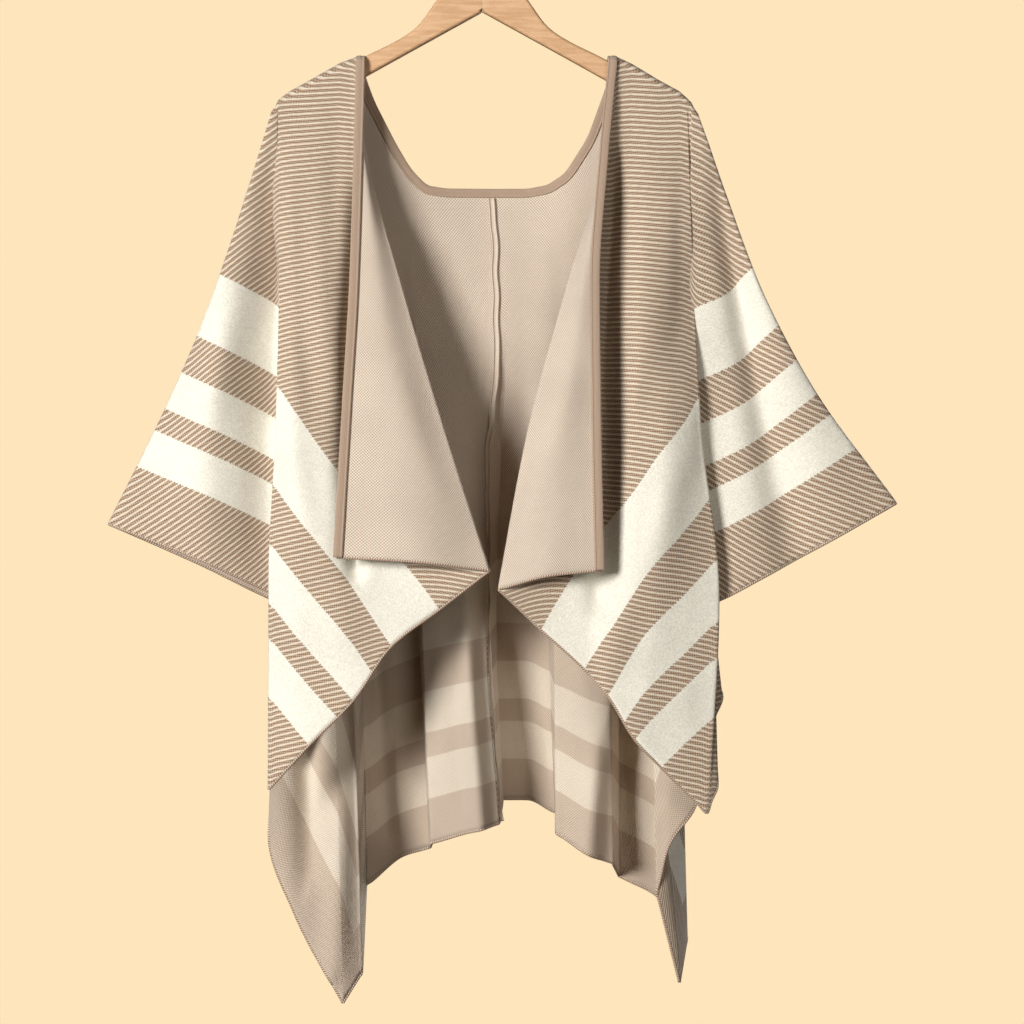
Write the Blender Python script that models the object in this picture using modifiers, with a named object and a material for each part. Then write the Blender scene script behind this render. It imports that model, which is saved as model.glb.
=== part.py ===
"""An open knitted poncho sweater hanging on a wooden hanger.

The garment is two one-piece halves joined by a seam down the centre of the back. Each half falls
over its arm of the hanger, so it has a front, a back and a wide cape sleeve between them. It is
described here by its folds: each row of a fold table is one line in the cloth that runs from the
shoulder or the neckline down to the free edge. Millimetres in the tables, metres in the scene.
+X is the wearer's left, -Y is the front, +Z is up, and the origin is where the hook bears on a rail.
"""

from collections import namedtuple
from math import cos, pi, radians, sin

import bmesh
import bpy
import numpy as np

MM = 0.001
CLOTH = 2.4  # wall of the double-faced knit
GAP = 0.3  # between pieces that meet
SEAM_INSET = CLOTH / 2 + GAP / 2  # where two panels meet at an angle
ARM_INSET = 3.0  # from the sleeve's fold to the end of each panel, along its rounded bend
LEVELS = (0.0, 0.2, 0.45, 0.7, 1.0)  # shares of a fold's length at which the tables give x and y
SHOULDER_HALF = 9.2  # from the middle of the hanger's arm to the middle of the cloth's wall
SHOULDER_DROP = 6.0  # height over which the cloth turns down beside the arm
ARM_FOLD_HALF = 4.5  # from the middle of the sleeve's fold to each of its two walls
COLUMN_STEP = 55.0  # widest stretch of free edge between two columns of a panel's mesh
BELOW = len(LEVELS) - 1  # levels below the top line
ROW_SHARES = (0.12, 0.26, 0.4, 0.55, 0.7, 0.85, 1.0)
TOP_ROWS = (0.0, 1.2, 3.0, 6.0, 16.0)  # millimetres below the shoulder line

BINDING_WIDTH = 11.0
NECK_GAP = 1.3  # between the thick neck binding and the panel below it
NECK_BINDING_THICK = 4.4  # folded round the neckline
FRONT_BINDING_THICK = 2.2  # its visible half, lying on the lapel
# The back's panel starts this far below the shoulder line, at these places beside the neck.
NECK_CUT = ((-1.0, 39.0), (1.5, 10.0), (2.2, 6.0), (2.9, 3.0), (3.6, 1.2), (4.3, GAP))
LAPEL_END = 200.0  # free edge that the turned-back lapel takes up
SEAM_HALF = 4.5  # one of the two seam allowances
SEAM_THICK = 2.4

WOOD_THICK = 13.0
WOOD_BEVEL = 3.5
HOOK_WIRE = 4.0
HOOK_INNER = 20.0  # inner radius of the hook
HOOK_FOOT = -77.4  # where the hook's stem meets the wood
HOOK_START, HOOK_END = -50, 205  # degrees of the hook's round part, from the wearer's left upwards

# The hanger's arm: points of its outline from the middle outwards, as x and the edge's height.
WOOD_UPPER = ((0, -77.7), (14, -80), (28, -89), (40, -102), (52, -119), (73, -146.5), (138, -183),
              (160, -195), (186, -209.5), (204, -220), (210, -226))
WOOD_LOWER = ((211, -233), (205, -241), (195, -238), (139, -206), (0, -129))

# One fold: where it leaves the top line (top, measured along the shoulder outwards from the neck
# and along the neckline inwards), where it ends in the flat cloth (u outwards from the front edge
# line, v down from the shoulder), x and y at the four lower LEVELS, z at its end, and soft, the
# half width of the bend at a crisp fold (0 where the cloth just passes through).
Fold = namedtuple("Fold", "name top u v x1 x2 x3 x4 y1 y2 y3 y4 z soft")
Top = namedtuple("Top", "top x y z")

RIGHT_TOP = (
    Top(105, -230, 0, -239),
    Top(90, -223, 0, -226),
    Top(75, -211, 0, -217),
    Top(50, -186, 0, -203),
    Top(20, -156, 0, -186),
    Top(0, -137, 10.5, -179),
    Top(-15, -122, 14, -223),
    Top(-40, -97, 22, -272),
    Top(-56, -81, 28, -299),
    Top(-74, -63, 33, -317),
    Top(-96, -41, 37, -320),
    Top(-145, 8, 41, -320),
)
LEFT_TOP = (
    Top(105, 235, 0, -241),
    Top(90, 228, 0, -228),
    Top(75, 216, 0, -217),
    Top(50, 194, 0, -205),
    Top(20, 164, 0, -187),
    Top(0, 147, 10.5, -179),
    Top(-8, 139, 14, -206),
    Top(-29, 118, 24, -264),
    Top(-54, 93, 32, -303),
    Top(-74, 73, 37, -316),
    Top(-97, 50, 40, -320),
    Top(-145, 8, 41, -320),
)

RIGHT_FRONT = (
    Fold("front edge", 0, 0, 545, -139, -142, -149, -158, -22, -45, -62, -72, -727, 0),
    Fold("lapel", 3, 85, 545, -130, -114, -97, -71, -25, -50, -68, -80, -732, 0),
    Fold("lapel roll", 6, 200, 545, -126, -88, -46, 8, -16, -38, -52, -60, -742, 14),
    Fold("under lapel", 10, 300, 545, -143, -118, -87, -46, -8, -28, -40, -52, -784, 0),
    Fold("hollow", 20, 373, 545, -159, -147, -127, -98, -8, -28, -42, -55, -824, 0),
    Fold("body bulge", 45, 459, 545, -182, -176, -162, -139, -12, -38, -50, -58, -882, 0),
    Fold("side bulge", 70, 529, 545, -203, -201, -197, -187, -12, -34, -46, -54, -931, 0),
    Fold("side crest", 85, 597, 545, -221, -223, -231, -231, -8, -22, -34, -45, -979, 14),
    Fold("armpit fold", 91, 597, 330, -230, -203, -166, -129, -4, -8, -10, -12, -814, 12),
    Fold("inner sleeve", 96, 597, 194, -226, -229, -231, -231, -7, -12, -16, -18, -768, 0),
    Fold("mid sleeve", 100, 597, 100, -240, -261, -282, -308, -7, -12, -14, -14, -731, 0),
)
RIGHT_ARM = Fold("arm fold", 105, 597, 0, -259, -296, -344, -411, 0, 0, 0, 0, -692, 10)
RIGHT_BACK = (
    Fold("mid sleeve", 100, 597, -100, -241, -263, -285, -309, 8, 12, 14, 15, -738, 0),
    Fold("inner sleeve", 96, 597, -194, -228, -232, -234, -233, 9, 13, 17, 20, -776, 0),
    Fold("armpit fold", 91, 597, -330, -231, -203, -165, -127, 10, 14, 18, 22, -818, 12),
    Fold("side crest", 85, 597, -545, -219, -223, -229, -234, 12, 28, 38, 32, -979, 14),
    Fold("side", 82, 597, -600, -218, -222, -229, -237, 13, 30, 40, 26, -1037, 0),
    Fold("lower side", 75, 597, -690, -208, -208, -210, -209, 14, 36, 42, 16, -1120, 0),
    Fold("corner", 50, 597, -860, -182, -176, -165, -154, 16, 42, 46, 8, -1220, 0),
    Fold("corner turn", 30, 530, -855, -160, -153, -145, -134, 18, 48, 58, 24, -1189, 10),
    Fold("wall back", 10, 400, -850, -145, -145, -140, -135, 24, 68, 100, 125, -1107, 16),
    Fold("deep", -15, 300, -840, -112, -107, -100, -93, 34, 76, 108, 130, -1073, 0),
    Fold("deep end", -45, 215, -835, -87, -82, -72, -61, 40, 80, 108, 120, -1062, 16),
    Fold("pleat side", -65, 120, -830, -75, -72, -67, -57, 42, 64, 56, 42, -1048, 16),
    Fold("pleat", -90, 0, -830, -37, -32, -26, -15, 44, 56, 46, 30, -1034, 0),
    Fold("back seam", -145, -145, -830, 15, 6, 4, 18, 44, 64, 56, 42, -1026, 0),
)

LEFT_FRONT = (
    Fold("front edge", 0, 0, 545, 136, 126, 127, 130, -22, -45, -62, -72, -741, 0),
    Fold("lapel", 3, 85, 545, 133, 111, 93, 72, -25, -50, -68, -78, -747, 0),
    Fold("lapel roll", 6, 190, 545, 133, 90, 51, 18, -16, -38, -52, -58, -762, 14),
    Fold("under lapel", 10, 300, 545, 149, 125, 93, 64, -8, -28, -40, -50, -806, 0),
    Fold("hollow", 20, 373, 545, 160, 144, 128, 111, -8, -26, -36, -50, -849, 0),
    Fold("body bulge", 45, 416, 545, 181, 172, 157, 136, -14, -42, -54, -58, -877, 0),
    Fold("flank", 60, 485, 545, 203, 198, 188, 165, -14, -38, -52, -58, -924, 0),
    Fold("side bulge", 75, 529, 545, 218, 218, 217, 194, -10, -30, -44, -52, -955, 0),
    Fold("side crest", 85, 597, 545, 229, 237, 257, 244, -8, -22, -34, -40, -1005, 14),
    Fold("side edge", 86, 597, 510, 229, 237, 256, 257, -8, -21, -31, -32, -975, 0),
    Fold("side notch", 87, 597, 455, 230, 237, 254, 253, -7, -20, -28, -27, -912, 0),
    Fold("side ripple", 88, 597, 425, 231, 236, 251, 264, -7, -18, -24, -22, -880, 0),
    Fold("armpit fold", 91, 597, 330, 236, 210, 172, 132, -4, -8, -10, -12, -812, 12),
    Fold("inner sleeve", 96, 597, 194, 236, 243, 251, 260, -7, -12, -16, -18, -778, 0),
    Fold("mid sleeve", 100, 597, 130, 245, 267, 288, 312, -7, -12, -14, -14, -748, 0),
)
LEFT_ARM = Fold("arm fold", 105, 597, 0, 266, 306, 362, 455, 0, 0, 0, 0, -669, 10)
LEFT_BACK = (
    Fold("mid sleeve", 100, 597, -130, 246, 269, 290, 313, 8, 12, 14, 15, -744, 0),
    Fold("inner sleeve", 96, 597, -194, 237, 245, 254, 263, 9, 13, 17, 20, -774, 0),
    Fold("armpit fold", 91, 597, -330, 237, 210, 171, 130, 10, 14, 18, 22, -816, 12),
    Fold("side crest", 87, 597, -550, 229, 239, 251, 248, 12, 28, 38, 26, -937, 16),
    Fold("side", 83, 597, -640, 227, 232, 232, 235, 13, 26, 26, 6, -1001, 0),
    Fold("lower side", 80, 597, -710, 223, 214, 205, 204, 14, 22, 12, -2, -1048, 0),
    Fold("near fold", 77, 597, -755, 218, 203, 190, 192, 14, 22, 12, 0, -1097, 10),
    Fold("corner", 70, 597, -860, 216, 201, 197, 217, 15, 30, 26, 6, -1197, 0),
    Fold("outline", 55, 530, -855, 205, 211, 221, 228, 17, 46, 66, 52, -1155, 14),
    Fold("far side", 30, 420, -850, 179, 185, 191, 196, 20, 64, 92, 100, -1114, 0),
    Fold("wall back", 10, 335, -845, 150, 153, 154, 154, 24, 70, 92, 100, -1092, 14),
    Fold("pleat right", -10, 260, -840, 133, 137, 141, 145, 34, 64, 62, 48, -1071, 14),
    Fold("pleat", -30, 200, -835, 115, 113, 115, 118, 38, 60, 50, 32, -1059, 0),
    Fold("pleat left", -55, 135, -830, 90, 83, 81, 82, 40, 66, 60, 44, -1037, 14),
    Fold("deep end", -75, 50, -830, 77, 75, 76, 83, 42, 82, 102, 112, -1022, 14),
    Fold("deep", -105, -30, -830, 49, 48, 48, 51, 44, 86, 108, 120, -1007, 0),
    Fold("deep seam", -135, -100, -830, 28, 19, 14, 22, 44, 80, 100, 112, -1006, 12),
    Fold("back seam", -145, -145, -830, 15, 6, 4, 18, 44, 64, 56, 42, -1026, 0),
)


def through(knots, values, at):
    """A smooth curve through values (one row for each knot) that never swings past them."""
    knots, at = np.asarray(knots, float), np.asarray(at, float)
    values = np.asarray(values, float)
    width = np.diff(knots)[:, None]
    rise = np.diff(values, axis=0) / width
    slope = np.zeros_like(values)
    slope[0], slope[-1] = rise[0], rise[-1]
    before, after = rise[:-1], rise[1:]
    same_way = before * after > 0
    weight_1, weight_2 = 2 * width[1:] + width[:-1], width[1:] + 2 * width[:-1]
    with np.errstate(divide="ignore", invalid="ignore"):
        mean = (weight_1 + weight_2) / (weight_1 / before + weight_2 / after)
    slope[1:-1] = np.where(same_way, mean, 0.0)
    low = np.clip(np.searchsorted(knots, at, side="right") - 1, 0, len(knots) - 2)
    span = width[low]
    t = ((at - knots[low]) / span[:, 0])[:, None]
    return (
        (1 + 2 * t) * (1 - t) ** 2 * values[low]
        + t * (1 - t) ** 2 * span * slope[low]
        + t**2 * (3 - 2 * t) * values[low + 1]
        + t**2 * (t - 1) * span * slope[low + 1]
    )


class Half:
    """One half of the garment as a surface: along its free edge and down its folds."""

    def __init__(self, top_line, front, arm, back):
        self.top_line = sorted(top_line)
        rows = [*front, arm, *back]
        edge = [0.0]
        for one, two in zip(rows, rows[1:]):
            edge.append(edge[-1] + np.hypot(two.u - one.u, two.v - one.v))
        self.arm_at = edge[len(front)]
        self.end_at = edge[-1]
        stations = np.array([self.stations(row) for row in rows], float)
        self.knots, self.table = self.with_bends(rows, edge, stations)

    def top_point(self, top):
        """Points of the shoulder line or the neckline that folds leave from, as x, y and z."""
        tops = [row.top for row in self.top_line]
        return [np.interp(top, tops, [getattr(row, axis) for row in self.top_line]) for axis in "xyz"]

    def stations(self, row):
        """x and y of one fold at each level below the top, its end height, and its place on the top."""
        return (row.x1, row.x2, row.x3, row.x4, row.y1, row.y2, row.y3, row.y4, row.z, row.top)

    @staticmethod
    def with_bends(rows, edge, stations):
        """The table with a helper row on each side of every crisp fold."""
        knots, table = [], []
        for i, row in enumerate(rows):
            for way in (-1, 0, 1):
                if way and not row.soft:
                    continue
                beside = stations[i].copy()
                if way:
                    share = row.soft / abs(edge[i + way] - edge[i])
                    beside += share * (stations[i + way] - stations[i])
                if row.name == "arm fold":
                    beside[BELOW : 2 * BELOW] = way * ARM_FOLD_HALF
                knots.append(edge[i] + way * row.soft)
                table.append(beside)
        return np.array(knots), np.array(table)

    def tops(self, along):
        """Where on the top line the folds at these places leave from."""
        return through(self.knots, self.table, along)[:, -1]

    def place_of_top(self, top):
        """The place along the back's free edge whose fold starts at this point of the top line."""
        along = np.linspace(self.arm_at, self.end_at, 2000)
        return np.interp(-top, -self.tops(along), along)

    def columns(self, start, end):
        """Places along the free edge from start to end: every knot, and more where they are far apart."""
        beside_neck = [self.place_of_top(top) for top, _ in NECK_CUT]
        near_arm = [self.arm_at - ARM_INSET - 4, self.arm_at + ARM_INSET + 4]
        inside = []
        for place in sorted([*self.knots, *near_arm, *beside_neck]):
            if start + 3 < place < end - 3 and (not inside or place - inside[-1] > 1):
                inside.append(place)
        marks = [start, *inside, end]
        places = [start]
        for one, two in zip(marks, marks[1:]):
            count = max(1, round((two - one) / COLUMN_STEP + 0.3))
            places.extend(one + (two - one) * (n + 1) / count for n in range(count))
        return np.array(places)

    def point(self, along, down):
        """Points at places along the free edge and distances down each fold, in millimetres.

        down holds, for each place, distances from the top line.
        """
        row = through(self.knots, self.table, along)
        top = row[:, -1]
        top_x, neck_y, top_z = self.top_point(top)
        on_shoulder = top >= 0
        top_y = np.where(on_shoulder, SHOULDER_HALF * np.sign(along - self.arm_at), neck_y)
        share = np.asarray(down) / self.lengths(along)[:, None]
        points = np.zeros((*share.shape, 3))
        for i, column in enumerate(row):
            xs = (top_x[i], *column[:BELOW])
            ys = (top_y[i], *column[BELOW : 2 * BELOW])
            points[i, :, :2] = through(LEVELS, np.stack([xs, ys], axis=1), share[i])
            points[i, :, 2] = top_z[i] + (column[-2] - top_z[i]) * share[i]
        turn = np.clip(np.asarray(down) / SHOULDER_DROP, 0, 1)
        points[:, :, 1] *= np.where(on_shoulder[:, None], np.sin(turn * pi / 2), 1)
        return points

    def lengths(self, along):
        """The length of each fold, from the top line to the free edge."""
        row = through(self.knots, self.table, along)
        top_x, _, top_z = self.top_point(row[:, -1])
        return np.hypot(row[:, -2] - top_z, row[:, BELOW - 1] - top_x)


RIGHT = Half(RIGHT_TOP, RIGHT_FRONT, RIGHT_ARM, RIGHT_BACK)
LEFT = Half(LEFT_TOP, LEFT_FRONT, LEFT_ARM, LEFT_BACK)


def clear_scene():
    for obj in list(bpy.data.objects):
        bpy.data.objects.remove(obj, do_unlink=True)


def material(name, colour, roughness, metallic=0.0):
    made = bpy.data.materials.new(name)
    made.use_nodes = True
    shader = made.node_tree.nodes["Principled BSDF"]
    shader.inputs["Base Color"].default_value = (*colour, 1.0)
    shader.inputs["Roughness"].default_value = roughness
    shader.inputs["Metallic"].default_value = metallic
    made.diffuse_color = (*colour, 1.0)
    return made


def add_mesh(collection, name, made_from, finish):
    """A named object in the garment's collection, from a bmesh."""
    mesh = bpy.data.meshes.new(name)
    made_from.to_mesh(mesh)
    made_from.free()
    mesh.shade_smooth()
    mesh.materials.append(finish)
    obj = bpy.data.objects.new(name, mesh)
    collection.objects.link(obj)
    return obj


def sheet(points, flip):
    """A bmesh grid through rows of points in millimetres."""
    made = bmesh.new()
    grid = [[made.verts.new(p * MM) for p in column] for column in points]
    for one, two in zip(grid, grid[1:]):
        for k in range(len(one) - 1):
            corners = (one[k], one[k + 1], two[k + 1], two[k])
            made.faces.new(corners[::-1] if flip else corners)
    return made


def thicken(obj, thickness):
    wall = obj.modifiers.new("wall", "SOLIDIFY")
    wall.thickness = thickness * MM
    wall.offset = 0.0
    return obj


def panel_rows(half, along, first):
    """Distances down each fold for a panel's mesh, from first millimetres below the top line."""
    lengths = half.lengths(along)
    rows = np.zeros((len(along), len(TOP_ROWS) + len(ROW_SHARES)))
    for i, length in enumerate(lengths):
        top = [first[i] + t for t in TOP_ROWS]
        rest = [top[-1] + (length - top[-1]) * share for share in ROW_SHARES]
        rows[i] = [*top, *rest]
    return rows


def panel(collection, name, half, start, end, finish, flip):
    """One front or back: the cloth wall between two places along the free edge."""
    along = half.columns(start, end)
    first = np.full(len(along), GAP)
    if start > half.arm_at:
        places, reaches = zip(*NECK_CUT)
        tops = half.tops(along)
        beside = np.interp(tops, places, reaches)
        below_binding = neck_reach(half, along, BINDING_WIDTH + NECK_GAP)
        first = np.where(tops <= places[0], below_binding, beside)
    points = half.point(along, panel_rows(half, along, first))
    return thicken(add_mesh(collection, name, sheet(points, flip), finish), CLOTH)


def neck_reach(half, along, width):
    """How far down each fold a width across the neckline reaches: further where it runs steeply."""
    step = 0.5
    edge_1, edge_2 = (half.point(along + way, np.zeros((len(along), 1)))[:, 0] for way in (-step, step))
    tangent = edge_2 - edge_1
    tangent /= np.linalg.norm(tangent, axis=1)[:, None] + 1e-9
    across = np.clip(np.hypot(tangent[:, 0], tangent[:, 1]), 0.3, 1.0)
    return width / across


def front_binding(collection, side, half, inward, finish):
    """The rib binding on the turned-back front edge, from the hem corner up over the shoulder."""
    length = half.lengths(np.array([0.0]))[0]
    downs = np.linspace(length - 1, 8, 30)
    lapel = half.point(np.linspace(0, LAPEL_END, 60), np.tile(downs, (60, 1)))
    outer, rows = lapel[0], []
    lift = CLOTH / 2 + 3 * GAP + FRONT_BINDING_THICK / 2
    for k, edge in enumerate(outer):
        reach = inward * (lapel[:, k, 0] - edge[0])
        beside = lapel[(reach > -2) & (reach < BINDING_WIDTH + 2), k, 1]
        front = min(beside) - lift
        rows.append([(edge[0] + inward * share * BINDING_WIDTH, front, edge[2]) for share in (0, 0.5, 1)])
    x, top = outer[-1][0] + inward * GAP, half.top_point(0)[2]
    front = rows[-1][0][1]
    for turn in (30, 60, 90):
        y = front * cos(radians(turn))
        rows.append([
            (x + inward * share * BINDING_WIDTH, y, top + (2.5 + 5.5 * share) * sin(radians(turn)))
            for share in (0, 0.5, 1)
        ])
    strip = sheet(np.array(rows, float), inward < 0)
    return thicken(add_mesh(collection, f"{side}_front_binding", strip, finish), FRONT_BINDING_THICK)


def neck_binding(collection, finish):
    """The binding round the back of the neck, on both halves' neckline."""
    rows = []
    for half in (RIGHT, LEFT):
        along = half.columns(half.place_of_top(NECK_CUT[0][0]) + 2 * GAP, half.end_at)
        reach = neck_reach(half, along, BINDING_WIDTH)
        columns = half.point(along, np.stack([0 * reach, reach / 2, reach], axis=1))
        rows.extend(columns if half is RIGHT else columns[-2::-1])
    strip = sheet(np.array(rows), False)
    return thicken(add_mesh(collection, "neck_binding", strip, finish), NECK_BINDING_THICK)


def back_seam(collection, finish):
    """The seam allowances that stand up along the inside of the centre-back seam."""
    length = RIGHT.lengths(np.array([RIGHT.end_at]))[0]
    downs = np.linspace(BINDING_WIDTH + 3, length - 3, 30)
    lift = np.array([0, -(CLOTH / 2 + 5 * GAP + SEAM_THICK / 2), 0])
    rows = []
    for down in downs:
        narrow = np.interp(down, (0.3 * length, 0.6 * length), (SEAM_HALF, SEAM_HALF / 4))
        one = RIGHT.point(np.array([RIGHT.end_at - SEAM_HALF]), [[down]])[0, 0]
        middle = RIGHT.point(np.array([RIGHT.end_at]), [[down]])[0, 0]
        two = LEFT.point(np.array([LEFT.end_at - narrow]), [[down]])[0, 0]
        front = min(one[1], middle[1], two[1])
        rows.append([np.array([p[0], front, p[2]]) + lift for p in (one, middle, two)])
    strip = sheet(np.array(rows), True)
    return thicken(add_mesh(collection, "back_seam", strip, finish), SEAM_THICK)


def hanger_arm(collection, side, way, finish):
    """One arm of the hanger: its outline, given its thickness, with rounded edges."""
    made = bmesh.new()
    outline = [(x + GAP / 2, z) for x, z in (*WOOD_UPPER, *WOOD_LOWER)]
    near = [made.verts.new((way * x * MM, -WOOD_THICK / 2 * MM, z * MM)) for x, z in outline]
    face = made.faces.new(near)
    pushed = bmesh.ops.extrude_face_region(made, geom=[face])
    far = [v for v in pushed["geom"] if isinstance(v, bmesh.types.BMVert)]
    bmesh.ops.translate(made, vec=(0, WOOD_THICK * MM, 0), verts=far)
    bmesh.ops.recalc_face_normals(made, faces=made.faces)
    joint = GAP * MM
    rims = [e for e in made.edges if abs(e.verts[0].co.y - e.verts[1].co.y) < 1e-6]
    rims = [e for e in rims if any(abs(v.co.x) > joint for v in e.verts)]
    bmesh.ops.bevel(made, geom=rims, offset=WOOD_BEVEL * MM, segments=3, profile=0.5,
                    affect="EDGES", material=-1)
    return add_mesh(collection, f"{side}_hanger_arm", made, finish)


def hanger_hook(collection, finish):
    """The steel hook: a stem up from the wood, then round over the place where it bears."""
    radius = HOOK_INNER + HOOK_WIRE / 2
    stem = [(0, HOOK_FOOT), (0, -62), (2.5, -51)]
    turns = np.radians(np.linspace(HOOK_START, HOOK_END, 22))
    arc = [(radius * cos(a), radius * sin(a) - HOOK_INNER) for a in turns]
    route = np.array(stem + arc)
    steps = np.concatenate([[0], np.cumsum(np.linalg.norm(np.diff(route, axis=0), axis=1))])
    smooth = through(steps, route, np.linspace(0, steps[-1], 44))
    curve = bpy.data.curves.new("hanger_hook", "CURVE")
    curve.dimensions = "3D"
    curve.bevel_depth = HOOK_WIRE / 2 * MM
    curve.bevel_resolution = 2
    curve.use_fill_caps = True
    spline = curve.splines.new("POLY")
    spline.points.add(len(smooth) - 1)
    for point, (x, z) in zip(spline.points, smooth):
        point.co = (x * MM, 0, z * MM, 1)
    curve.materials.append(finish)
    obj = bpy.data.objects.new("hanger_hook", curve)
    collection.objects.link(obj)
    return obj


def front_and_back(collection, side, half, finish, flip):
    edge = 0.0
    front_end, back_start = half.arm_at - ARM_INSET, half.arm_at + ARM_INSET
    panel(collection, f"{side}_front", half, edge, front_end, finish, flip)
    panel(collection, f"{side}_back", half, back_start, half.end_at - SEAM_INSET, finish, flip)


def build():
    clear_scene()
    collection = bpy.data.collections.new("knitted poncho sweater on a hanger")
    bpy.context.scene.collection.children.link(collection)
    knit_right = material("knit right", (0.42, 0.32, 0.25), 0.9)
    knit_left = material("knit left", (0.45, 0.35, 0.28), 0.9)
    front_and_back(collection, "right", RIGHT, knit_right, False)
    front_and_back(collection, "left", LEFT, knit_left, True)
    rib = material("rib binding", (0.34, 0.24, 0.18), 0.9)
    front_binding(collection, "right", RIGHT, 1, rib)
    front_binding(collection, "left", LEFT, -1, rib)
    neck_binding(collection, rib)
    back_seam(collection, material("seam", (0.5, 0.4, 0.32), 0.9))
    beech = material("beech", (0.66, 0.42, 0.22), 0.45)
    hanger_arm(collection, "right", -1, beech)
    hanger_arm(collection, "left", 1, beech)
    hanger_hook(collection, material("steel", (0.6, 0.6, 0.6), 0.3, 1.0))


build()
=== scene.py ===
"""The looks of an open knitted poncho sweater that hangs on a wooden hanger.

The garment is two one-piece knitted halves, joined down the centre of the back. Each half is
described by its folds: a row of a fold table is one line in the cloth, from the shoulder or the
neckline down to the free edge. A fine surface is laid through nearly the same folds as the
solids', with soft creases between them, and is finished with jacquard stripes, rib binding,
linked edges and a seam. Millimetres in the tables, metres in the scene. +X is the wearer's left,
-Y the front, +Z up, and the origin is where the hook bears on a rail.
"""

from __future__ import annotations

import logging
from dataclasses import dataclass, field
from enum import Enum
from math import cos, hypot, pi, radians, sin
from typing import Callable, NamedTuple, Sequence

import bmesh
import bpy
import numpy as np
from bmesh.types import BMesh
from bpy.types import Material, Node, NodeSocket as Socket, NodeTree, Object
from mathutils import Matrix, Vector, noise

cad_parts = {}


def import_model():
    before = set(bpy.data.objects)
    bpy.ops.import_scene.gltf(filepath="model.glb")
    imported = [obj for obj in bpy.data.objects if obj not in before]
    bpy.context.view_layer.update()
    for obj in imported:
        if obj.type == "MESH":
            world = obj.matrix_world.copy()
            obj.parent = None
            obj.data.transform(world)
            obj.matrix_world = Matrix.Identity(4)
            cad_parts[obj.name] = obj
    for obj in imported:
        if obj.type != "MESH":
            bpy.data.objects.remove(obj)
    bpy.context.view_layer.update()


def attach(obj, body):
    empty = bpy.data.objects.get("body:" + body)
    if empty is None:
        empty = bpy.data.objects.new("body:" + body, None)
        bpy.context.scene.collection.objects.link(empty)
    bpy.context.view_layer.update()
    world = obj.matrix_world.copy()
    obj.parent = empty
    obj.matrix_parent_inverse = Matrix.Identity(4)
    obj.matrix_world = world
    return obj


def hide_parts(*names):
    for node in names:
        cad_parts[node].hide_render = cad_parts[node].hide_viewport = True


LOG = logging.getLogger("poncho")
Array = np.ndarray
Point = tuple[float, float, float]
Colour = tuple[float, float, float, float]

MM = 0.001
ROOT = "root"
CUT_MAP = "cut"  # the UV map that holds each piece's flat places, in metres

CLOTH = 2.4  # wall of the double-faced knit
LEVELS = (0.0, 0.2, 0.45, 0.7, 1.0)  # shares of a fold's length at which the tables give x and y
BELOW = len(LEVELS) - 1  # levels below the top line
SHOULDER_HALF = 9.2  # from the middle of the hanger's arm to the middle of the cloth's wall
SHOULDER_DROP = 6.0  # height over which the cloth turns down beside the arm
ARM_FOLD_HALF = 4.5  # from the middle of the sleeve's fold to each of its two walls
LAPEL_END = 200.0  # free edge that the turned-back lapel takes up
BACK_WIDTH, SIDE_WIDTH = 145.0, 597.0  # of the cut, in and out from the front edge line
BACK_LENGTH, CORNER_LENGTH = 830.0, 860.0  # from the shoulder to the back's hem and its corner

COLUMN_STEP = 8.5  # between two columns of the cloth's mesh, along the free edge
CLOSEST_COLUMNS = 1.7
COLUMNS_AT_FOLD = (-1, -0.7, -0.45, -0.2, 0, 0.2, 0.45, 0.7, 1)  # shares of its softness
CLOTH_ROWS = 112
TOP_ROWS = (0.0, 0.8, 1.6, 2.6, 3.8, 5.0, 6.2, 8.0, 11.0, 15.0)  # millimetres below the top line
UNEVENNESS = ((95, 150, 1.0), (38, 60, 0.4))  # width, length and share of the cloth's waves

BINDING_WIDTH = 8.7
BINDING_OVER = 1.5  # by which a binding stands past the cloth's edge
FRONT_RIB_THICK = 3.0
NECK_RIB_THICK = 5.6
RIB_SWELL = 0.35  # by which a binding's middle is fuller
RIB_GROOVE = ((0.7, 0.25, 0.7), (-0.25, 0.38, 0.9))  # depth, place as a share, and half width
SEAM_HALF = 4.5  # width of one of the two seam allowances

WOOD_THICK = 13.0
WOOD_BEVEL = 3.5
ARM_SLOPE = 30.0  # degrees by which an arm falls, for its grain
JOINT_GAP = 0.15  # half the fine joint between the hanger's two arms
HOOK_WIRE, HOOK_INNER = 4.0, 20.0  # width of the wire, and the hook's inner radius
HOOK_STEM = ((0, -81.4), (0, -62), (2.5, -51))  # x and z, from inside the wood
HOOK_START, HOOK_END = -50, 205  # degrees of its round part, from the wearer's left upwards

# x and z of an arm's outline, out along its upper side and back along its lower one.
WOOD_UPPER = ((0, -77.7), (14, -80), (28, -89), (40, -102), (52, -119), (73, -146.5), (138, -183),
              (160, -195), (186, -209.5), (204, -220), (210, -226))
WOOD_LOWER = ((211, -233), (205, -241), (195, -238), (139, -206), (0, -129))


class Fold(NamedTuple):
    """One line in the cloth from the top line down to the free edge.

    top is where it leaves the shoulder line (outwards from the neck) or the neckline (inwards,
    below zero); u and v are its end in the flat cut, outwards from the front edge line and down
    from the shoulder; x1 to x4 and y1 to y4 its place at the four lower levels; z its end height;
    soft the half width of the bend where it is a crisp fold.
    """

    name: str
    top: float
    u: float
    v: float
    x1: float
    x2: float
    x3: float
    x4: float
    y1: float
    y2: float
    y3: float
    y4: float
    z: float
    soft: float


class TopPoint(NamedTuple):
    """A point of the line that the folds hang from: the shoulder, then the neckline."""

    top: float
    x: float
    y: float
    z: float


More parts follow.
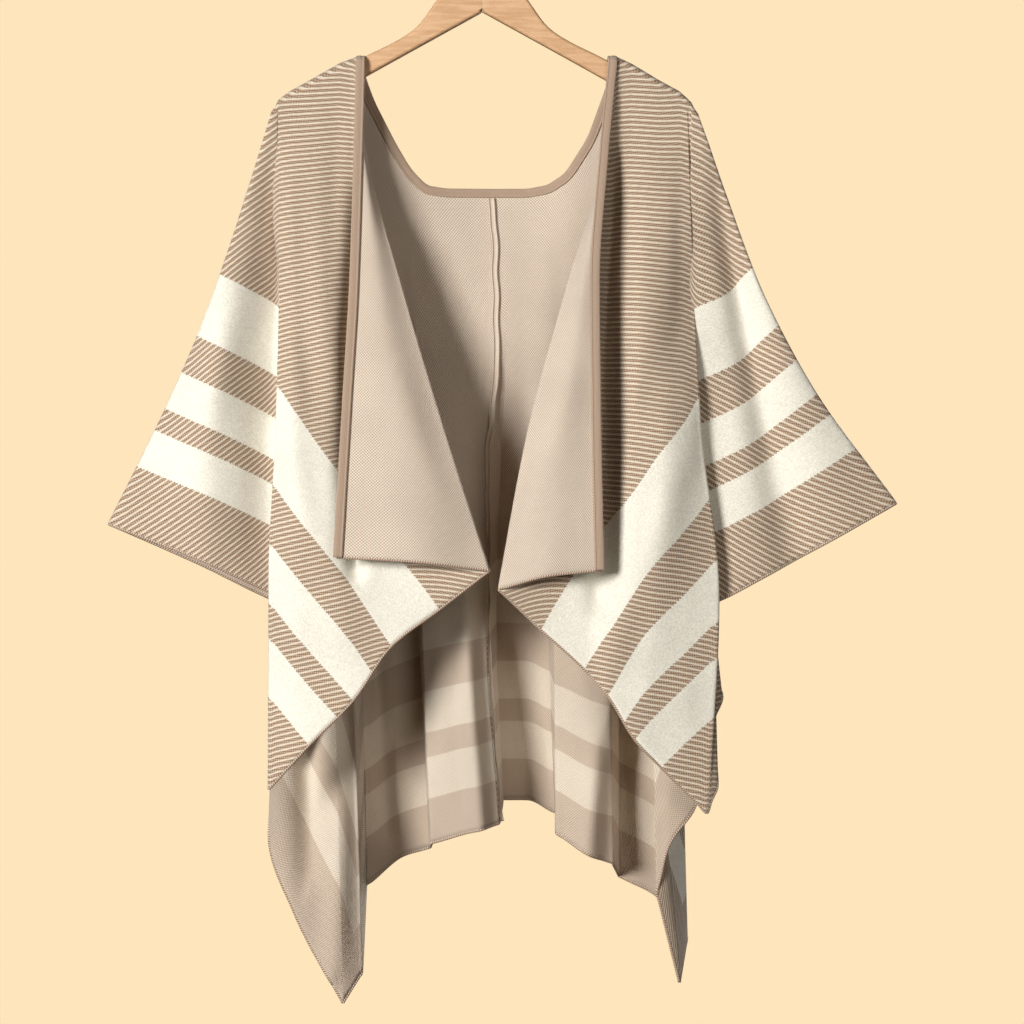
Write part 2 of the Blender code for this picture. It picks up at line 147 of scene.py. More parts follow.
class Crease(NamedTuple):
    """A soft ridge (height above zero) or trough, between two places of the flat cut."""

    u1: float
    v1: float
    u2: float
    v2: float
    half_width: float
    height: float


class Side(Enum):
    """The two halves of the garment, as the wearer's, with the sign of their x."""

    RIGHT = -1
    LEFT = 1

    @property
    def word(self) -> str:
        """The side as the names of pieces have it."""
        return self.name.lower()


def rows_of(kind: type, *rows: tuple) -> tuple:
    """The rows of a table, each made this kind."""
    return tuple(kind(*row) for row in rows)


RIGHT_TOP = rows_of(
    TopPoint,
    (105, -230, 0, -239), (90, -223, 0, -226), (75, -211, 0, -217), (50, -186, 0, -203),
    (20, -156, 0, -186), (0, -137, 10.5, -179), (-15, -122, 14, -223), (-40, -97, 22, -272),
    (-56, -81, 28, -299), (-74, -63, 33, -317), (-96, -41, 37, -320), (-145, 8, 41, -320),
)
LEFT_TOP = rows_of(
    TopPoint,
    (105, 235, 0, -241), (90, 228, 0, -228), (75, 216, 0, -217), (50, 194, 0, -205),
    (20, 164, 0, -187), (0, 147, 10.5, -179), (-8, 139, 14, -206), (-29, 118, 24, -264),
    (-54, 93, 32, -303), (-74, 73, 37, -316), (-97, 50, 40, -320), (-145, 8, 41, -320),
)

RIGHT_FRONT = rows_of(
    Fold,
    ("front edge", 0, 0, 545, -139, -142, -149, -158, -22, -45, -62, -72, -727, 0),
    ("lapel", 3, 85, 545, -130, -114, -97, -71, -25, -50, -68, -80, -732, 0),
    ("lapel roll", 6, 200, 545, -126, -88, -46, 8, -16, -38, -52, -60, -742, 14),
    ("under lapel", 10, 300, 545, -143, -118, -87, -46, -8, -28, -40, -52, -784, 0),
    ("hollow", 20, 373, 545, -159, -147, -127, -98, -8, -28, -42, -55, -824, 0),
    ("body bulge", 45, 459, 545, -182, -176, -162, -139, -12, -38, -50, -58, -882, 0),
    ("side bulge", 70, 529, 545, -203, -201, -197, -187, -12, -34, -46, -54, -931, 0),
    ("side crest", 85, 597, 545, -221, -223, -231, -231, -8, -22, -34, -45, -979, 14),
    ("armpit fold", 91, 597, 330, -230, -203, -166, -129, -4, -8, -10, -12, -814, 12),
    ("inner sleeve", 96, 597, 194, -226, -229, -231, -231, -7, -12, -16, -18, -768, 0),
    ("mid sleeve", 100, 597, 100, -240, -261, -282, -308, -7, -12, -14, -14, -731, 0),
)
RIGHT_ARM = Fold("arm fold", 105, 597, 0, -259, -296, -344, -411, 0, 0, 0, 0, -692, 10)
RIGHT_BACK = rows_of(
    Fold,
    ("mid sleeve", 100, 597, -100, -241, -263, -285, -309, 8, 12, 14, 15, -738, 0),
    ("inner sleeve", 96, 597, -194, -228, -232, -234, -233, 9, 13, 17, 20, -776, 0),
    ("armpit fold", 91, 597, -330, -231, -203, -165, -127, 10, 14, 18, 22, -818, 12),
    ("side crest", 85, 597, -545, -219, -223, -229, -234, 12, 28, 38, 32, -979, 14),
    ("side", 82, 597, -600, -218, -222, -229, -237, 13, 30, 40, 26, -1037, 0),
    ("lower side", 75, 597, -690, -208, -208, -210, -209, 14, 36, 42, 16, -1120, 0),
    ("corner", 50, 597, -860, -182, -176, -165, -154, 16, 42, 46, 8, -1220, 4),
    ("corner turn", 30, 530, -855, -160, -153, -145, -134, 18, 48, 58, 24, -1189, 10),
    ("wall back", 10, 400, -850, -145, -145, -140, -135, 24, 68, 100, 125, -1107, 16),
    ("deep", -15, 300, -840, -112, -107, -100, -93, 34, 76, 108, 130, -1073, 0),
    ("deep end", -45, 215, -835, -87, -82, -72, -61, 40, 80, 108, 120, -1062, 16),
    ("pleat side", -65, 120, -830, -75, -72, -67, -57, 42, 64, 56, 42, -1048, 16),
    ("pleat", -90, 0, -830, -37, -32, -26, -15, 44, 56, 46, 30, -1034, 0),
    ("back seam", -145, -145, -830, 15, 6, 4, 18, 44, 64, 56, 42, -1026, 0),
)

LEFT_FRONT = rows_of(
    Fold,
    ("front edge", 0, 0, 545, 136, 126, 127, 130, -22, -45, -62, -72, -741, 0),
    ("lapel", 3, 85, 545, 133, 111, 93, 72, -25, -50, -68, -78, -747, 0),
    ("lapel roll", 6, 190, 545, 133, 90, 51, 18, -16, -38, -52, -58, -762, 14),
    ("under lapel", 10, 300, 545, 149, 125, 93, 64, -8, -28, -40, -50, -806, 0),
    ("hollow", 20, 373, 545, 160, 144, 128, 111, -8, -26, -36, -50, -849, 0),
    ("body bulge", 45, 416, 545, 181, 172, 157, 136, -14, -42, -54, -58, -877, 0),
    ("flank", 60, 485, 545, 203, 198, 188, 165, -14, -38, -52, -58, -924, 0),
    ("side bulge", 75, 529, 545, 218, 218, 217, 194, -10, -30, -44, -52, -955, 0),
    ("side crest", 85, 597, 545, 229, 237, 257, 244, -8, -22, -34, -40, -1005, 14),
    ("side edge", 86, 597, 510, 223, 230, 249, 256, -5, -15, -30, -32, -975, 0),
    ("side notch", 87, 597, 455, 222, 228, 245, 251, -3, -12, -25, -27, -912, 0),
    ("side ripple", 88, 597, 425, 222, 226, 240, 262, -2, -9, -20, -22, -880, 0),
    ("armpit fold", 91, 597, 330, 236, 210, 172, 132, -4, -8, -10, -12, -812, 12),
    ("inner sleeve", 96, 597, 194, 229, 235, 243, 252, -7, -12, -16, -18, -778, 0),
    ("mid sleeve", 100, 597, 130, 245, 267, 288, 312, -7, -12, -14, -14, -748, 0),
)
LEFT_ARM = Fold("arm fold", 105, 597, 0, 266, 306, 362, 455, 0, 0, 0, 0, -669, 10)
LEFT_BACK = rows_of(
    Fold,
    ("mid sleeve", 100, 597, -130, 246, 269, 290, 313, 8, 12, 14, 15, -744, 0),
    ("inner sleeve", 96, 597, -194, 237, 245, 254, 263, 9, 13, 17, 20, -774, 0),
    ("armpit fold", 91, 597, -330, 237, 210, 171, 130, 10, 14, 18, 22, -816, 12),
    ("side crest", 87, 597, -550, 229, 239, 251, 248, 12, 28, 38, 26, -937, 16),
    ("side", 83, 597, -640, 227, 232, 232, 235, 13, 26, 26, 6, -1001, 0),
    ("lower side", 80, 597, -710, 223, 214, 205, 204, 14, 22, 12, -2, -1048, 0),
    ("near fold", 77, 597, -755, 218, 203, 190, 192, 14, 22, 12, 0, -1097, 10),
    ("corner", 70, 597, -860, 216, 201, 197, 217, 15, 30, 26, 6, -1197, 4),
    ("outline", 55, 530, -855, 205, 211, 221, 228, 17, 46, 66, 52, -1155, 14),
    ("far side", 30, 420, -850, 179, 185, 191, 196, 20, 64, 92, 100, -1114, 0),
    ("wall back", 10, 335, -845, 150, 153, 154, 154, 24, 70, 92, 100, -1092, 14),
    ("pleat right", -10, 260, -840, 133, 137, 141, 145, 34, 64, 62, 48, -1071, 14),
    ("pleat", -30, 200, -835, 115, 113, 115, 118, 38, 60, 50, 32, -1059, 0),
    ("pleat left", -55, 135, -830, 90, 83, 81, 82, 40, 66, 60, 44, -1037, 14),
    ("deep end", -75, 50, -830, 77, 75, 76, 83, 42, 82, 102, 112, -1022, 14),
    ("deep", -105, -30, -830, 49, 48, 48, 51, 44, 86, 108, 120, -1007, 0),
    ("deep seam", -135, -100, -830, 28, 19, 14, 22, 44, 80, 100, 112, -1006, 12),
    ("back seam", -145, -145, -830, 15, 6, 4, 18, 44, 64, 56, 42, -1026, 0),
)

# Creases on the front stand out towards the front, and on the back towards the back.
RIGHT_CREASES = rows_of(
    Crease,
    (60, 130, 366, 462, 14, -37), (128, 60, 480, 465, 30, 7), (90, 2, 640, 205, 31, -24),
    (250, -16, 650, 122, 26, 11), (90, -2, 640, -205, 34, 15), (-55, -430, -55, -920, 46, -17),
    (210, 120, 330, 520, 26, -6), (255, 90, 420, 500, 22, 5.1), (120, 60, 300, 300, 16, -4.1),
    (330, 60, 585, 170, 22, -4.4), (300, 30, 590, 60, 20, 3.7), (420, 130, 560, 330, 24, 4.1),
    (60, 330, 160, 520, 30, 3.7), (110, 200, 190, 430, 20, -3.1), (480, 470, 590, 350, 26, -3.7),
    (380, -60, 590, -130, 24, 4.4), (260, -120, 560, -420, 26, -11),
    (330, -330, 560, -700, 28, 24), (440, -640, 590, -830, 28, -13),
    (120, -180, 330, -820, 24, 18), (-60, -250, 60, -800, 30, -4.4),
    (20, -420, 130, -810, 24, 4.1), (180, -240, 420, -560, 23, 19),
    (250, -320, 450, -800, 24, -18),
)
LEFT_CREASES = rows_of(
    Crease,
    (38, 92, 356, 488, 18, -38), (110, 60, 440, 470, 28, 7), (150, -7, 640, 109, 20, -21),
    (90, 4, 640, -112, 36, 21), (340, -10, 650, 60, 20, 4), (195, -520, 195, -920, 30, -13),
    (205, 110, 320, 530, 24, -5.4), (250, 80, 400, 520, 22, 5.4), (110, 50, 290, 280, 16, -3.7),
    (330, 70, 590, 190, 26, -5.8), (310, 30, 590, 80, 20, 3.4), (400, 120, 560, 300, 22, 4.4),
    (60, 320, 150, 520, 28, 4.1), (100, 180, 180, 420, 20, -2.7), (500, 480, 590, 380, 24, -4.1),
    (380, -60, 590, -140, 24, 4.1), (270, -130, 560, -400, 26, -10),
    (320, -340, 540, -690, 27, 12), (200, -640, 290, -700, 14, 4.4),
    (190, -690, 275, -760, 14, -4.4), (120, -180, 330, -820, 24, 11),
    (-70, -240, 50, -800, 30, -4.1), (10, -430, 120, -800, 22, 3.7),
    (180, -250, 410, -580, 22, 9),
)


def through(knots: Sequence[float], values: Array, at: Array) -> Array:
    """A smooth curve through rows of values that never swings past them.

    Args:
        knots: place of each row of values, rising.
        values: one row for each knot.
        at: places to read the curve at.

    Returns:
        One row for each place.
    """
    knots, at, values = (np.asarray(given, float) for given in (knots, at, values))
    width = np.diff(knots)[:, None]
    rise = np.diff(values, axis=0) / width
    slope = np.zeros_like(values)
    slope[0], slope[-1] = rise[0], rise[-1]
    before, after = rise[:-1], rise[1:]
    weight_1, weight_2 = 2 * width[1:] + width[:-1], width[1:] + 2 * width[:-1]
    with np.errstate(divide="ignore", invalid="ignore"):
        mean = (weight_1 + weight_2) / (weight_1 / before + weight_2 / after)
    slope[1:-1] = np.where(before * after > 0, mean, 0.0)
    low = np.clip(np.searchsorted(knots, at, side="right") - 1, 0, len(knots) - 2)
    span = width[low]
    t = ((at - knots[low]) / span[:, 0])[:, None]
    return (
        (1 + 2 * t) * (1 - t) ** 2 * values[low]
        + t * (1 - t) ** 2 * span * slope[low]
        + t**2 * (3 - 2 * t) * values[low + 1]
        + t**2 * (t - 1) * span * slope[low + 1]
    )


def unit(vectors: Array) -> Array:
    """The vectors at length 1."""
    return vectors / (np.linalg.norm(vectors, axis=-1, keepdims=True) + 1e-12)


def run_along(points: Array) -> Array:
    """The distance along a line of points, at each of them."""
    return np.concatenate([[0.0], np.cumsum(np.linalg.norm(np.diff(points, axis=0), axis=1))])


def eased(values: Array, reach: int) -> Array:
    """The running mean of a row of values, over reach of them on each side."""
    window = np.ones(2 * reach + 1) / (2 * reach + 1)
    return np.convolve(np.pad(values, reach, mode="edge"), window, mode="valid")


def round_section(points: int, power: float = 1.0) -> tuple[Array, Array]:
    """Both coordinates of a closed section of size 1: round at power 1, squarer below it."""
    turn = np.linspace(0, 2 * pi, points, endpoint=False)
    return tuple(np.sign(way) * np.abs(way) ** power for way in (np.cos(turn), np.sin(turn)))


def wire_section(radius: float, points: int) -> Array:
    """The round section of a wire or cord."""
    return radius * np.stack(round_section(points), axis=-1)


@dataclass
class HalfSurface:
    """The middle surface of one knitted half, along its free edge and down its folds."""

    side: Side
    top_line: Sequence[TopPoint]
    front: Sequence[Fold]
    arm: Fold
    back: Sequence[Fold]
    creases: Sequence[Crease]
    seed: float  # of the small unevenness
    ripple: float = 1.5  # its height at the free edge
    creased_from: float = 0.2  # share of a fold's length by which its creases have full height

    def __post_init__(self) -> None:
        """Lays out the folds along the free edge, with a helper on each side of a crisp one."""
        self.top_line = sorted(self.top_line)
        folds = [*self.front, self.arm, *self.back]
        steps = [hypot(two.u - one.u, two.v - one.v) for one, two in zip(folds, folds[1:])]
        edge = np.concatenate([[0.0], np.cumsum(steps)])
        self.arm_at, self.end_at = float(edge[len(self.front)]), float(edge[-1])
        self.cut_edge = (edge, [fold.u for fold in folds], [fold.v for fold in folds])
        self.crisp = [(place, fold.soft) for place, fold in zip(edge, folds) if fold.soft]
        rows = np.array([[*fold[4:12], fold.z, fold.top] for fold in folds], float)
        knots, table = [], []
        for i, fold in enumerate(folds):
            for way in (-1, 0, 1) if fold.soft else (0,):
                beside = rows[i].copy()
                if way:
                    beside += fold.soft / abs(edge[i + way] - edge[i]) * (rows[i + way] - rows[i])
                if fold is self.arm:
                    beside[BELOW : 2 * BELOW] = way * ARM_FOLD_HALF
                knots.append(edge[i] + way * fold.soft)
                table.append(beside)
        self.knots, self.table = np.array(knots), np.array(table)

    def top_point(self, top: Array) -> list[Array]:
        """x, y and z of places on the top line."""
        tops, *axes = zip(*self.top_line)
        return [np.interp(top, tops, axis) for axis in axes]

    def tops(self, along: Array) -> Array:
        """Where on the top line the folds at these places leave from."""
        return through(self.knots, self.table, along)[:, -1]

    def place_of_top(self, top: float) -> float:
        """The place on the back's free edge whose fold starts at this point of the top line."""
        along = np.linspace(self.arm_at, self.end_at, 2000)
        return float(np.interp(-top, -self.tops(along), along))

    def lengths(self, along: Array) -> Array:
        """The length of each fold, from the top line to the free edge."""
        row = through(self.knots, self.table, along)
        top_x, _, top_z = self.top_point(row[:, -1])
        return np.hypot(row[:, -2] - top_z, row[:, BELOW - 1] - top_x)

    def columns(self, start: float, end: float) -> Array:
        """Places along the free edge for the mesh, closer together round the crisp folds."""
        near = [place + share * soft for place, soft in self.crisp for share in COLUMNS_AT_FOLD]
        even = np.arange(start, end, COLUMN_STEP)
        places = [start]
        for place in sorted([*even, *near]):
            if places[-1] + CLOSEST_COLUMNS < place < end - CLOSEST_COLUMNS:
                places.append(place)
        return np.array([*places, end])

    def cut(self, along: Array, share: Array) -> tuple[Array, Array]:
        """The same points in the flat cut: u outwards from the front edge line, v down."""
        tops = self.tops(along)
        top_x, _, top_z = self.top_point(tops)
        neck_x, _, neck_z = self.top_point(np.zeros(1))
        top_u = np.where(tops >= 0, tops, -abs(top_x - neck_x))
        top_v = np.where(tops >= 0, 0.0, top_z - neck_z)
        edge, edge_u, edge_v = self.cut_edge
        end_u, end_v = np.interp(along, edge, edge_u), np.interp(along, edge, edge_v)
        u = top_u[:, None] * (1 - share) + end_u[:, None] * share
        v = top_v[:, None] * (1 - share) + end_v[:, None] * share
        return u, v

    def relief(self, u: Array, v: Array, share: Array) -> Array:
        """How far creases and small unevenness lift the cloth off the plain folds."""
        lift = np.zeros_like(u)
        for crease in self.creases:
            du, dv = crease.u2 - crease.u1, crease.v2 - crease.v1
            long = hypot(du, dv)
            t = ((u - crease.u1) * du + (v - crease.v1) * dv) / long**2
            beside = ((u - crease.u1) * dv - (v - crease.v1) * du) / long
            fade = np.sqrt(np.clip(4 * t * (1 - t), 0, 1))
            lift += crease.height * fade * np.exp(-((beside / crease.half_width) ** 2))
        wave = [
            sum(high * noise.noise(Vector((a / wide, b / tall, self.seed)))
                for wide, tall, high in UNEVENNESS)
            for a, b in zip(u.ravel(), v.ravel())
        ]
        faded_in = lift * np.clip(share / self.creased_from, 0, 1)
        return faded_in + self.ripple * np.reshape(wave, u.shape) * share

    def surface(self, along: Array, down: Array, creased: bool = True) -> Array:
        """Points of the cloth's middle surface.

        Args:
            along: places along the free edge.
            down: for each place, distances down its fold from the top line.
            creased: whether the creases and unevenness are laid on.

        Returns:
            x, y and z in millimetres for each place and distance.
        """
        down = np.asarray(down, float)
        row = through(self.knots, self.table, along)
        top = row[:, -1]
        top_x, neck_y, top_z = self.top_point(top)
        on_shoulder = top >= 0
        top_y = np.where(on_shoulder, SHOULDER_HALF * np.sign(along - self.arm_at), neck_y)
        share = down / self.lengths(along)[:, None]
        points = np.zeros((*share.shape, 3))
        for i, column in enumerate(row):
            xs = (top_x[i], *column[:BELOW])
            ys = (top_y[i], *column[BELOW : 2 * BELOW])
            points[i, :, :2] = through(LEVELS, np.stack([xs, ys], axis=1), share[i])
            points[i, :, 2] = top_z[i] + (column[-2] - top_z[i]) * share[i]
        turn = np.clip(down / SHOULDER_DROP, 0, 1)
        round_over = np.where(on_shoulder[:, None], np.sin(turn * pi / 2), 1)
        points[:, :, 1] *= round_over
        kept_up = SHOULDER_DROP * (turn - 1 + np.cos(turn * pi / 2))
        points[:, :, 2] += np.where(on_shoulder[:, None], kept_up, 0)
        if creased:
            u, v = self.cut(along, share)
            way = np.sign(along - self.arm_at)[:, None]
            points[:, :, 1] += way * self.relief(u, v, share)
        return points


RIGHT_HALF = HalfSurface(
    Side.RIGHT, RIGHT_TOP, RIGHT_FRONT, RIGHT_ARM, RIGHT_BACK, RIGHT_CREASES, seed=2.0
)
LEFT_HALF = HalfSurface(
    Side.LEFT, LEFT_TOP, LEFT_FRONT, LEFT_ARM, LEFT_BACK, LEFT_CREASES, seed=7.0
)


def laid_grid(points: Array, flat: Array, flip: bool = False) -> BMesh:
    """A grid whose vertices are moved to rows of points, with a UV map of their flat places.

    Args:
        points: x, y and z in millimetres, for each column and row.
        flat: the flat place of each point in metres, for the UV map.
        flip: whether the faces are turned round.

    Returns:
        The bmesh.
    """
    made = bmesh.new()
    across, down = points.shape[0] - 1, points.shape[1] - 1
    bmesh.ops.create_grid(made, x_segments=across, y_segments=down, size=1.0)
    uv = made.loops.layers.uv.new(CUT_MAP)
    place = {}
    for vert in made.verts:
        place[vert] = round((vert.co.x + 1) / 2 * across), round((vert.co.y + 1) / 2 * down)
        vert.co = points[place[vert]] * MM
    for face in made.faces:
        for loop in face.loops:
            loop[uv].uv = flat[place[loop.vert]]
    if flip:
        bmesh.ops.reverse_faces(made, faces=made.faces)
    return made


def swept(path: Array, across: Array, lift: Array, profiles: Array) -> BMesh:
    """A closed strip or tube: a profile carried along a path, with its ends filled.

    Args:
        path: points in millimetres.
        across: the profile's first direction at each point.
        lift: its second direction at each point.
        profiles: the closed profile's places along both directions, one for all of the path or
            one for each of its points.

    Returns:
        The bmesh, with a UV map of the distance along the path and round the profile, in metres.
    """
    profiles = np.broadcast_to(profiles, (len(path), *profiles.shape[-2:]))
    ring = np.concatenate([profiles, profiles[:, :1]], axis=1)
    points = path[:, None] + ring[..., :1] * across[:, None] + ring[..., 1:] * lift[:, None]
    flat = np.broadcast_arrays(run_along(path)[:, None], run_along(ring[0])[None])
    flat = np.stack(flat, axis=-1) * MM
    made = laid_grid(points, flat)
    bmesh.ops.remove_doubles(made, verts=made.verts, dist=1e-6)
    rims = [edge for edge in made.edges if edge.is_boundary]
    bmesh.ops.holes_fill(made, edges=rims, sides=0)
    bmesh.ops.recalc_face_normals(made, faces=made.faces)
    return made


def frames_along(path: Array, towards: Array) -> tuple[Array, Array]:
    """Directions across a path: one as near to towards as it can be, and one square to both."""
    tangent = unit(np.gradient(path, axis=0))
    across = unit(towards - (towards * tangent).sum(-1, keepdims=True) * tangent)
    return across, np.cross(tangent, across)


def smooth_mesh(name: str, made: BMesh, *finishes: Material) -> bpy.types.Mesh:
    """The bmesh as a smooth-shaded mesh in these finishes; the bmesh is freed."""
    mesh = bpy.data.meshes.new(name)
    made.to_mesh(mesh)
    made.free()
    mesh.shade_smooth()
    for finish in finishes:
        mesh.materials.append(finish)
    return mesh


def placed_object(name: str, data: bpy.types.ID) -> Object:
    """A new object in the scene that holds this data."""
    placed = bpy.data.objects.new(name, data)
    bpy.context.scene.collection.objects.link(placed)
    return placed


def add_piece(name: str, made: BMesh, finishes: Sequence[Material],
              replaced: Sequence[str] = ()) -> Object:
    """A finished piece of the object, riding with it.

    Args:
        name: the piece's name.
        made: its mesh, which is freed.
        finishes: its materials.
        replaced: the CAD nodes that it stands for.

    Returns:
        The object.
    """
    piece = placed_object(name, smooth_mesh(name, made, *finishes))
    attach(piece, ROOT)
    if replaced:
        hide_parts(*replaced)
    LOG.info("%s: %d faces", name, len(piece.data.polygons))
    return piece


def set_inputs(node: Node, values: dict) -> None:
    """Gives a node's own inputs these values, by name or number."""
    for socket, value in values.items():
        node.inputs[socket].default_value = value


class Wiring:
    """A node tree, with a short way to add its nodes and join them."""

    def __init__(self, tree: NodeTree) -> None:
        """Takes the tree that the nodes go in."""
        self.tree = tree

    def add(self, kind: str, inputs: dict | None = None, **settings: object) -> Node:
        """A new node.

        Args:
            kind: its type, without the ShaderNode in front.
            inputs: values or sockets for its inputs, by name or number.
            settings: its own properties.

        Returns:
            The node.
        """
        node = self.tree.nodes.new(f"ShaderNode{kind}")
        for key, value in settings.items():
            setattr(node, key, value)
        for key, value in (inputs or {}).items():
            if isinstance(value, Socket):
                self.tree.links.new(value, node.inputs[key])
            else:
                node.inputs[key].default_value = value
        return node

    def math(self, operation: str, *values: object) -> Socket:
        """The result of a Math node."""
        return self.add("Math", dict(enumerate(values)), operation=operation).outputs[0]

    def times(self, one: object, two: object) -> Socket:
        """One times two."""
        return self.math("MULTIPLY", one, two)

    def scaled(self, value: object, share: object, least: object) -> Socket:
        """The value times share, with least added."""
        return self.math("MULTIPLY_ADD", value, share, least)

    def ramp(self, value: object, low: float, high: float) -> Socket:
        """0 at low, 1 at high and smooth between."""
        node = self.add("MapRange", {0: value, 1: low, 2: high}, interpolation_type="SMOOTHSTEP")
        return node.outputs[0]

    def mix(self, share: object, one: object, two: object, blend: str = "MIX") -> Socket:
        """A mixed colour."""
        node = self.add("Mix", {0: share, 6: one, 7: two}, data_type="RGBA", blend_type=blend)
        return node.outputs[2]

    def noise(self, place: object, scale: float, detail: float, **more: float) -> Socket:
        """Soft noise over a place."""
        inputs = {"Vector": place, "Scale": scale, "Detail": detail, **more}
        return self.add("TexNoise", inputs).outputs[0]

    def wave(self, value: object) -> Socket:
        """0 to 1 and back as value goes up by one."""
        turn = self.math("COSINE", self.times(value, 2 * pi))
        return self.scaled(turn, 0.5, 0.5)

    def in_mm(self, flat: object) -> tuple[Socket, Socket]:
        """The two flat coordinates of a place, in millimetres."""
        parts = self.add("SeparateXYZ", {0: flat})
        return self.math("DIVIDE", parts.outputs[0], MM), self.math("DIVIDE", parts.outputs[1], MM)

    def cut_place(self) -> Socket:
        """The place in the flat cut."""
        return self.add("UVMap", uv_map=CUT_MAP).outputs[0]

    def solid_place(self) -> Socket:
        """The place in space, in metres."""
        return self.add("TexCoord").outputs["Object"]


def shader_group(name: str, inputs: dict[str, str], outputs: Sequence[str],
                 wire: Callable[[Wiring, dict], dict]) -> NodeTree:
    """A node group, built once and used by more than one material.

    Args:
        name: its name.
        inputs: the kind of each input socket by name, Float or Vector.
        outputs: the names of its outputs, which are all Float.
        wire: takes the wiring and the input sockets, and returns the output sockets by name.

    Returns:
        The group.
    """
    group = bpy.data.node_groups.new(name, "ShaderNodeTree")
    for in_out, sockets in (("INPUT", inputs), ("OUTPUT", dict.fromkeys(outputs, "Float"))):
        for socket, kind in sockets.items():
            group.interface.new_socket(socket, in_out=in_out, socket_type=f"NodeSocket{kind}")
    start, end = group.nodes.new("NodeGroupInput"), group.nodes.new("NodeGroupOutput")
    wiring = Wiring(group)
    for socket, value in wire(wiring, {key: start.outputs[key] for key in inputs}).items():
        group.links.new(value, end.inputs[socket])
    return group


STITCH = 1.75  # width of a stitch
COURSE = 1.6  # height of a row of stitches
RIDGE_ACROSS, RIDGE_DOWN = 10.3, 6.42  # spacing of the diagonal ridges, along u and along v
BANDS = ((68, 112), (138, 181), (224, 297))  # cream bands, by distance from the side edge
BAND_REACH, BORDER_FADE = 300.0, 60.0  # how far in the bands reach, and the fade beyond
TOOTH = 1.3  # depth of the steps along a band's edge
HEM_SHIFT = 22.0  # the back's bands lie this much nearer its hem than to its side edge
HEM_FLAT_TO = 120.0  # where the back's hem starts to run down towards its corner


def wire_stitches(w: Wiring, given: dict) -> dict:
    """Rows of V-shaped stitches, and a random value for each leg of each one."""
    across, down = w.in_mm(given["Cut"])
    x, y = w.math("DIVIDE", across, given["Width"]), w.math("DIVIDE", down, given["Height"])
    slant = w.math("PINGPONG", x, 0.5)
    legs = w.math("POWER", w.math("ABSOLUTE", w.math("SINE", w.times(x, 2 * pi))), 0.6)
    rows = w.wave(w.scaled(slant, 1.1, y))
    leg, row = w.math("FLOOR", w.times(x, 2.0)), w.math("FLOOR", y)
    cell = w.add("CombineXYZ", {0: leg, 1: row}).outputs[0]
    each = w.add("TexWhiteNoise", {"Vector": cell}, noise_dimensions="2D")
    relief = w.times(legs, w.scaled(rows, 0.6, 0.4))
    return {"Relief": relief, "Each": each.outputs[0]}


def wire_bands(w: Wiring, given: dict) -> dict:
    """The three cream bands: along the side edge, and round the back's corner along its hem."""
    u, v = w.in_mm(given["Cut"])
    side = w.math("SUBTRACT", SIDE_WIDTH, u)
    drop = (CORNER_LENGTH - BACK_LENGTH) / (SIDE_WIDTH - HEM_FLAT_TO)
    lower = w.times(w.math("MAXIMUM", w.math("SUBTRACT", u, HEM_FLAT_TO), 0.0), drop)
    hem = w.math("ADD", w.math("ADD", v, BACK_LENGTH + HEM_SHIFT), lower)
    run = w.math("DIVIDE", w.math("ADD", u, v), 2 * STITCH)
    teeth = w.scaled(w.wave(run), TOOTH, w.math("MINIMUM", side, hem))
    bands = w.add("ValToRGB", {0: w.math("DIVIDE", teeth, BAND_REACH)})
    steps = bands.color_ramp
    steps.interpolation = "CONSTANT"
    steps.elements[0].color = steps.elements[1].color = (0, 0, 0, 1)
    for start, end in BANDS:
        steps.elements.new(start / BAND_REACH).color = (1, 1, 1, 1)
        steps.elements.new(end / BAND_REACH).color = (0, 0, 0, 1)
    return {"Band": bands.outputs[0], "Border": w.ramp(teeth, BAND_REACH + BORDER_FADE, BAND_REACH)}


def wire_wool(w: Wiring, given: dict) -> dict:
    """The yarn's uneven fuzz, and slow variation over the cloth."""
    fine, slow = w.noise(given["Place"], 900.0, 2.0), w.noise(given["Place"], 14.0, 3.0)
    return {"Fuzz": fine, "Tone": w.ramp(slow, 0.3, 0.7)}


@dataclass
class YarnGroups:
    """The shader groups that the knitted finishes share."""

    stitches: NodeTree = field(default_factory=lambda: shader_group(
        "knit stitches", {"Cut": "Vector", "Width": "Float", "Height": "Float"},
        ("Relief", "Each"), wire_stitches))
    bands: NodeTree = field(default_factory=lambda: shader_group(
        "garment bands", {"Cut": "Vector"}, ("Band", "Border"), wire_bands))
    wool: NodeTree = field(default_factory=lambda: shader_group(
        "wool fuzz", {"Place": "Vector"}, ("Fuzz", "Tone"), wire_wool))

    def stitched(self, w: Wiring, cut: object, width: float, height: float) -> Node:
        """The stitches, at this width and height in millimetres."""
        return w.add("Group", {0: cut, 1: width, 2: height}, node_tree=self.stitches)

    def fuzzed(self, w: Wiring, colour: object, tone: float = 0.0) -> tuple[Socket, Socket]:
        """A colour made uneven by the wool.

        Args:
            w: the material's wiring.
            colour: the even colour.
            tone: how much it also varies slowly over the cloth.

        Returns:
            The uneven colour, and the fuzz for the relief.
        """
        wool = w.add("Group", {0: w.solid_place()}, node_tree=self.wool)
        shade = w.scaled(wool.outputs["Fuzz"], FUZZ, 0.86)
        if tone:
            slow = w.scaled(wool.outputs["Tone"], tone, 1 - tone / 2)
            shade = w.times(shade, slow)
        return w.mix(1.0, colour, shade, "MULTIPLY"), wool.outputs["Fuzz"]


def specks(w: Wiring, u: object, v: object, soft: float) -> Socket:
    """A chequer of single stitches, 0 and 1 by turns, with edges of this softness."""
    across, down = (w.math("SINE", w.times(place, pi / size))
                    for place, size in ((u, STITCH), (v, COURSE)))
    return w.ramp(w.times(across, down), -soft, soft)


